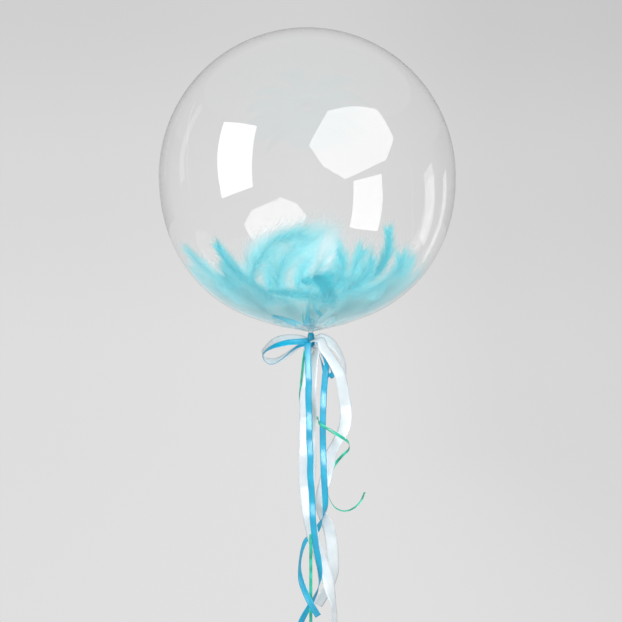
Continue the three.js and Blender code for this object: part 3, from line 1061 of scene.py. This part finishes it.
# The grey half ring: its place behind the bubble, its radii in metres, its first angle and its turn in
# degrees, and how much of it shows at each distance from its middle
FLAG_Y = 2.0
FLAG_RADII = 0.5, 2.8
FLAG_START, FLAG_TURN, FLAG_STEPS = -12, 204, 48
FLAG_STRENGTH = 0.5
FLAG_FADE = [(0.5, 0), (0.7, 0.2), (1.0, 0.9), (1.7, 1), (2.7, 0)]
FLAG_FADE_REACH = 3

# Light that has passed more walls of the film than this is on its far side
FAR_SIDE_DEPTH = 3


def product(add, first, second):
    return add("ShaderNodeMath", {0: first, 1: second}, operation="MULTIPLY").outputs[0]


def card_material(name, strength, through=None, fade=None):
    """A bright card that shows only where something mirrors it: anywhere, or only where the film's near
    side does (through is False), or only where its far side does (through is True). A fade is a centre,
    a reach, and how much of the card shows at each distance from the centre."""
    material, add = glow_material(name)
    path = add("ShaderNodeLightPath")
    mirrored = add("ShaderNodeMath", {0: path.outputs["Glossy Depth"], 1: 0.5}, operation="GREATER_THAN")
    shown = mirrored.outputs[0]
    if through is not None:
        depth = {0: path.outputs["Transmission Depth"], 1: FAR_SIDE_DEPTH}
        side = add("ShaderNodeMath", depth, operation="GREATER_THAN" if through else "LESS_THAN")
        shown = product(add, shown, side.outputs[0])
    if fade:
        centre, reach, amounts = fade
        coord = add("ShaderNodeTexCoord").outputs["Object"]
        distance = add("ShaderNodeVectorMath", {0: coord, 1: centre}, operation="DISTANCE")
        share = add("ShaderNodeMath", {0: distance.outputs["Value"], 1: reach}, operation="DIVIDE")
        shown = product(add, ramp(add, share.outputs[0], grey_stops(amounts, 0, reach), "B_SPLINE"), shown)
    clear = add("ShaderNodeBsdfTransparent")
    glow = add("ShaderNodeEmission", {"Strength": strength})
    mix = add("ShaderNodeMixShader", {0: shown, 1: clear.outputs[0], 2: glow.outputs[0]})
    add("ShaderNodeOutputMaterial", {"Surface": mix.outputs[0]})
    return material


def finish_card(piece, material):
    """A card is seen only where something mirrors it."""
    piece.data.materials.append(material)
    piece.visible_camera = False
    piece.visible_diffuse = False
    piece.visible_shadow = False


def sky_direction(azimuth, elevation):
    a, e = math.radians(azimuth), math.radians(elevation)
    return Vector((math.sin(a) * math.cos(e), -math.cos(a) * math.cos(e), math.sin(e)))


def panel_axes(azimuth, elevation, roll):
    """A panel's own right and up, where it faces along this direction."""
    normal = sky_direction(azimuth, elevation)
    right = Vector((0, 0, 1)).cross(normal).normalized()
    up = right.cross(normal) * -1
    c, s = math.cos(math.radians(roll)), math.sin(math.radians(roll))
    return right * c + up * s, up * c - right * s


def flat_card(name, toward, distance, facing, roll, outline, strength, through):
    """A flat card seen from the bubble's middle toward a direction, cut to an outline in metres."""
    centre = BUBBLE_CENTRE + sky_direction(*toward) * distance
    right, up = panel_axes(*facing, roll)
    points = [tuple(centre + right * x + up * y) for x, y in outline]
    piece = new_mesh(name, points, [list(range(len(points)))])
    finish_card(piece, card_material(name, strength, through))


def band(name, pairs):
    """A strip through pairs of points."""
    points = [tuple(point) for pair in pairs for point in pair]
    faces = [[2 * i - 2, 2 * i - 1, 2 * i + 1, 2 * i] for i in range(1, len(pairs))]
    return new_mesh(name, points, faces)


def arc_card(name, directions, width, strength, through=None):
    """A narrow card that follows a line of directions seen from the bubble's middle."""
    line = [BUBBLE_CENTRE + sky_direction(*d) * ARC_DISTANCE for d in directions]
    pairs = []
    for i, p in enumerate(line):
        ahead = line[min(i + 1, len(line) - 1)] - line[max(i - 1, 0)]
        across = ahead.cross(p - BUBBLE_CENTRE).normalized() * width / 2
        pairs.append((p - across, p + across))
    finish_card(band(name, pairs), card_material(name, strength, through))


def flag_card():
    """A grey half ring behind the bubble's upper half, which the film mirrors as a darker band just
    inside its rim. It fades outwards into the room's own tone."""
    pairs = []
    for i in range(FLAG_STEPS + 1):
        a = math.radians(FLAG_START + FLAG_TURN * i / FLAG_STEPS)
        pairs.append([(radius * math.cos(a), FLAG_Y, BUBBLE_CENTRE.z + radius * math.sin(a))
                      for radius in FLAG_RADII])
    fade = (0, FLAG_Y, BUBBLE_CENTRE.z), FLAG_FADE_REACH, FLAG_FADE
    finish_card(band("flag_card", pairs), card_material("flag_card", FLAG_STRENGTH, fade=fade))


def cards():
    for row in FLAT_CARDS:
        flat_card(*row)
    for row in ARC_CARDS:
        arc_card(*row)
    flag_card()


# Each lamp's place, what it is aimed at, its size in metres and its power in watts
LAMPS = [
    ("key", (-1.6, -1.2, 1.4), (0, 0, 0.6), (1.2, 1.5), 17),
    ("fill", (1.2, -1.3, 1.3), (0, 0, 0.6), (1.3, 1.3), 11),
    ("top", (0, 0, 3.2), (0, 0, 0), (3, 3), 26),
    ("back", (0.9, 1.9, 1.3), (0, 0, 0.5), (1.5, 1.5), 16),
]
RIBBON_LAMP = "ribbon_light", (0.25, -1.6, 0.82), (0, 0, 0.35), (1.1, 0.14), 28
WORLD_TONE = 0.65


def area_light(name, place, aim, size, power):
    data = bpy.data.lights.new(name, "AREA")
    data.shape = "RECTANGLE"
    data.size, data.size_y = size
    data.energy = power
    lamp = bpy.data.objects.new(name, data)
    lamp.location = place
    lamp.rotation_euler = (Vector(aim) - Vector(place)).to_track_quat("-Z", "Y").to_euler()
    lamp.visible_glossy = False
    lamp.visible_transmission = False
    bpy.context.collection.objects.link(lamp)
    return lamp


def lights():
    """Soft light all round, and one lamp whose gloss only the ribbons show."""
    for row in LAMPS:
        area_light(*row)
    gloss = area_light(*RIBBON_LAMP)
    gloss.visible_glossy = True
    gloss.light_linking.receiver_collection = bpy.data.collections["ribbons"]
    world = bpy.data.worlds.new("studio")
    world.use_nodes = True
    background = world.node_tree.nodes["Background"]
    background.inputs["Color"].default_value = (WORLD_TONE, WORLD_TONE, WORLD_TONE, 1)
    bpy.context.scene.world = world


def main():
    """Builds the balloon, its studio and its lamps."""
    bpy.ops.object.select_all(action="DESELECT")
    bpy.data.collections.new("ribbons")
    camera()
    blue = satin_material("blue_satin", BLUE_DYE_SHADE_SHEEN)
    white = satin_material("white_satin", WHITE_DYE_SHADE_SHEEN, WHITE_ALPHA)
    green = curling_material()
    ribbons(blue, white, green)
    neck_tie(blue)
    bubble(film_material())
    feathers()
    studio()
    cards()
    lights()
    scene = bpy.context.scene
    scene.view_settings.view_transform = "Standard"
    scene.cycles.transparent_max_bounces = 48
    bpy.context.view_layer.update()


main()
